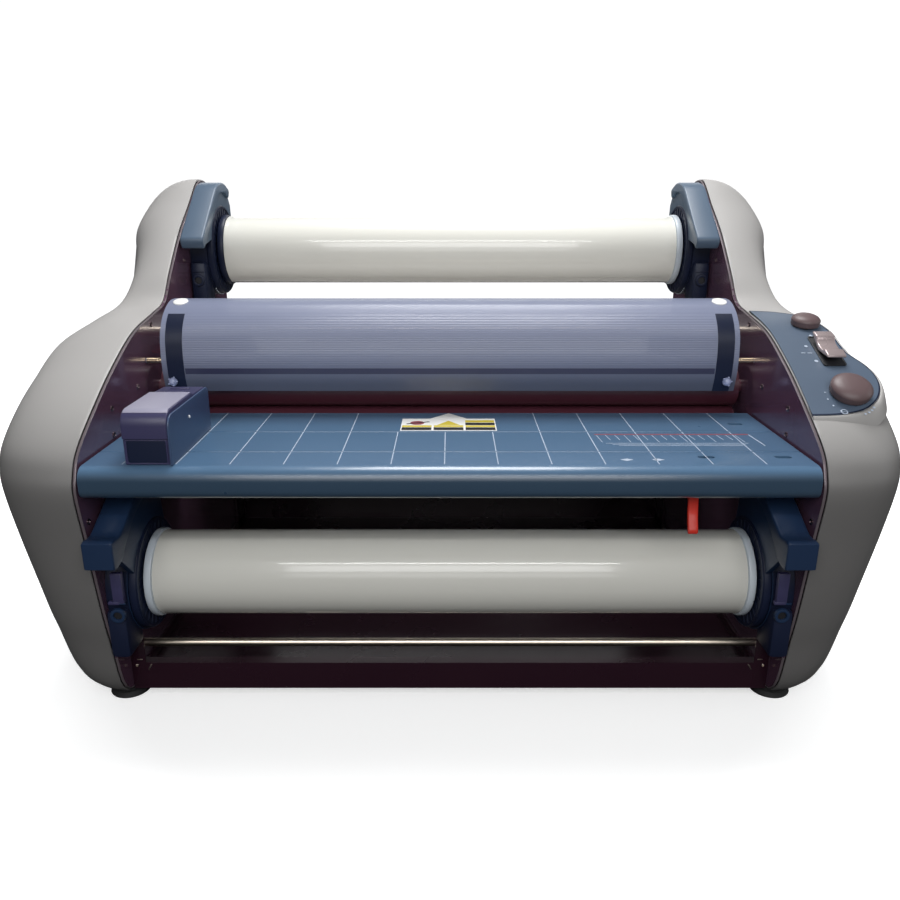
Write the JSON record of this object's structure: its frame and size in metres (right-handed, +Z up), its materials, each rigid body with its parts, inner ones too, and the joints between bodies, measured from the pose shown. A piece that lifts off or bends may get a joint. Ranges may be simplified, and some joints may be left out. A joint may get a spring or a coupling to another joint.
{
  "type": "wide-format roll laminator",
  "caption": "Table-top thermal roll laminator with upper and lower film supply rolls, feed tray with side guide, clear safety shield, heated and pull rollers and a control panel.",
  "frame": {"origin": "on the surface the machine stands on, under the middle of its bounding box", "axes": "+X to the operator's right along the rollers, +Y the way the paper runs (away from the operator), +Z up"},
  "size_m": [0.903, 0.5841, 0.558],
  "materials": {
    "plum_steel": "gloss",
    "cover_grey": "fine satin texture",
    "slate_blue": "satin",
    "navy_plastic": "satin",
    "overlay_blue": "satin printed film",
    "knob_brown": "satin",
    "bright_steel": "polished",
    "silicone": "smooth",
    "film": "gloss",
    "cap_plastic": "satin",
    "core_board": "spiral-wound board",
    "clear_blue": "clear, tinted",
    "red_plastic": "gloss",
    "rubber": "matte",
    "black_plastic": "satin",
    "board_green": "solder resist",
    "gear_nylon": "satin"
  },
  "bodies": {
    "chassis": {"base_pan": "plum_steel", "bearing_block_left": "black_plastic", "bearing_block_right": "black_plastic", "control_board": "board_green", "control_overlay": "overlay_blue", "fan_frame": "black_plastic", "foot_front_left": "rubber", "foot_front_right": "rubber", "foot_rear_left": "rubber", "foot_rear_right": "rubber", "gear_motor": "bright_steel", "lower_hub_bracket_left": "navy_plastic", "lower_hub_bracket_right": "navy_plastic", "lower_idler_rod": "bright_steel", "mains_switch_frame": "black_plastic", "power_inlet": "black_plastic", "power_supply": "bright_steel", "rear_cover": "cover_grey", "rear_panel": "plum_steel", "side_cover_left": "cover_grey", "side_cover_right": "cover_grey", "side_plate_left": "plum_steel", "side_plate_right": "plum_steel", "slitter_rail": "bright_steel", "upper_hub_bracket_left": "navy_plastic", "upper_hub_bracket_right": "navy_plastic", "upper_idler_rod": "bright_steel"},
    "upper_film_roll": {"upper_film": "film", "upper_core": "core_board", "upper_end_cap_left": "cap_plastic", "upper_end_cap_right": "cap_plastic"},
    "upper_lever_left": {"upper_hub_lever_left": "slate_blue"},
    "upper_lever_right": {"upper_hub_lever_right": "slate_blue"},
    "lower_film_roll": {"lower_film": "film", "lower_core": "core_board", "lower_end_cap_left": "cap_plastic", "lower_end_cap_right": "cap_plastic"},
    "lower_lever_left": {"lower_hub_lever_left": "slate_blue"},
    "lower_lever_right": {"lower_hub_lever_right": "slate_blue"},
    "heat_roller_lower": {"heat_roller_lower": "silicone", "heat_roller_gear": "gear_nylon"},
    "heat_roller_upper": {"heat_roller_upper": "silicone"},
    "pull_roller_lower": {"pull_roller_lower": "silicone", "pull_roller_gear": "gear_nylon"},
    "pull_roller_upper": {"pull_roller_upper": "silicone"},
    "idler_gear": {"idler_gear": "gear_nylon"},
    "motor_pinion": {"motor_pinion": "bright_steel"},
    "safety_shield": {"safety_shield": "clear_blue", "shield_bracket_left": "clear_blue", "shield_bracket_right": "clear_blue"},
    "feed_tray": {"feed_tray": "slate_blue"},
    "tray_latch": {"tray_latch": "red_plastic"},
    "side_guide": {"side_guide": "slate_blue", "guide_fence": "slate_blue"},
    "film_selector_knob": {"film_selector_knob": "knob_brown"},
    "speed_knob": {"speed_knob": "knob_brown"},
    "run_rocker": {"run_rocker": "knob_brown"},
    "mains_switch": {"mains_switch": "black_plastic"},
    "slitter_carriage": {"slitter_carriage": "red_plastic"},
    "fan_rotor": {"fan_rotor": "black_plastic"}
  },
  "joints": [
    {"name": "upper_roll_spin", "type": "hinge", "parent": "chassis", "child": "upper_film_roll", "pos_m": [0, 0.188, 0.463], "axis": [1, 0, 0], "continuous": true},
    {"name": "lower_roll_spin", "type": "hinge", "parent": "chassis", "child": "lower_film_roll", "pos_m": [0, -0.187, 0.145], "axis": [1, 0, 0], "continuous": true},
    {"name": "heat_lower_spin", "type": "hinge", "parent": "chassis", "child": "heat_roller_lower", "pos_m": [0, -0.032, 0.2677], "axis": [1, 0, 0], "continuous": true},
    {"name": "heat_upper_spin", "type": "hinge", "parent": "chassis", "child": "heat_roller_upper", "pos_m": [0, -0.032, 0.3163], "axis": [1, 0, 0], "continuous": true},
    {"name": "pull_lower_spin", "type": "hinge", "parent": "chassis", "child": "pull_roller_lower", "pos_m": [0, 0.09174, 0.2717], "axis": [1, 0, 0], "continuous": true},
    {"name": "pull_upper_spin", "type": "hinge", "parent": "chassis", "child": "pull_roller_upper", "pos_m": [0, 0.09174, 0.3123], "axis": [1, 0, 0], "continuous": true},
    {"name": "idler_spin", "type": "hinge", "parent": "chassis", "child": "idler_gear", "pos_m": [0, 0.03437, 0.26985], "axis": [1, 0, 0], "continuous": true},
    {"name": "motor_spin", "type": "hinge", "parent": "chassis", "child": "motor_pinion", "pos_m": [0, -0.032, 0.2043], "axis": [1, 0, 0], "continuous": true},
    {"name": "upper_lever_left_turn", "type": "hinge", "parent": "chassis", "child": "upper_lever_left", "pos_m": [-0.35, 0.188, 0.463], "axis": [1, 0, 0], "range_deg": [-60, 0]},
    {"name": "lower_lever_left_turn", "type": "hinge", "parent": "chassis", "child": "lower_lever_left", "pos_m": [-0.35, -0.187, 0.145], "axis": [1, 0, 0], "range_deg": [0, 45]},
    {"name": "upper_lever_right_turn", "type": "hinge", "parent": "chassis", "child": "upper_lever_right", "pos_m": [0.35, 0.188, 0.463], "axis": [1, 0, 0], "range_deg": [-60, 0]},
    {"name": "lower_lever_right_turn", "type": "hinge", "parent": "chassis", "child": "lower_lever_right", "pos_m": [0.35, -0.187, 0.145], "axis": [1, 0, 0], "range_deg": [0, 45]},
    {"name": "shield_tilt", "type": "hinge", "parent": "chassis", "child": "safety_shield", "pos_m": [0, -0.068, 0.354], "axis": [1, 0, 0], "range_deg": [-50, 0]},
    {"name": "tray_slide", "type": "slide", "parent": "chassis", "child": "feed_tray", "axis": [0, -1, 0], "range_m": [0, 0.2]},
    {"name": "latch_turn", "type": "hinge", "parent": "feed_tray", "child": "tray_latch", "pos_m": [0.237, -0.248, 0.281], "axis": [1, 0, 0], "range_deg": [0, 30]},
    {"name": "guide_slide", "type": "slide", "parent": "feed_tray", "child": "side_guide", "axis": [1, 0, 0], "range_m": [-0.035, 0.45]},
    {"name": "selector_turn", "type": "hinge", "parent": "chassis", "child": "film_selector_knob", "pos_m": [0.397, -0.08454, 0.39685], "axis": [0, -0.225, 0.9744], "range_deg": [-30, 30]},
    {"name": "speed_turn", "type": "hinge", "parent": "chassis", "child": "speed_knob", "pos_m": [0.399, -0.20018, 0.34678], "axis": [0, -0.4934, 0.8698], "range_deg": [-140, 140]},
    {"name": "rocker_tip", "type": "hinge", "parent": "chassis", "child": "run_rocker", "pos_m": [0.4, -0.13797, 0.3779], "axis": [1, 0, 0], "range_deg": [-8, 8]},
    {"name": "mains_switch_tip", "type": "hinge", "parent": "chassis", "child": "mains_switch", "pos_m": [-0.21, 0.2878, 0.07], "axis": [1, 0, 0], "range_deg": [-9, 9]},
    {"name": "slitter_slide", "type": "slide", "parent": "chassis", "child": "slitter_carriage", "axis": [1, 0, 0], "range_m": [0, 0.6]},
    {"name": "fan_spin", "type": "hinge", "parent": "chassis", "child": "fan_rotor", "pos_m": [0.12, 0.2674, 0.12], "axis": [0, 1, 0], "continuous": true}
  ],
  "couplings": [
    {"joint": "heat_upper_spin", "follows": "heat_lower_spin", "ratio": -1},
    {"joint": "pull_lower_spin", "follows": "heat_lower_spin", "ratio": 1.2308},
    {"joint": "pull_upper_spin", "follows": "heat_lower_spin", "ratio": -1.2308},
    {"joint": "idler_spin", "follows": "heat_lower_spin", "ratio": -2.6667},
    {"joint": "motor_spin", "follows": "heat_lower_spin", "ratio": -3.2}
  ]
}
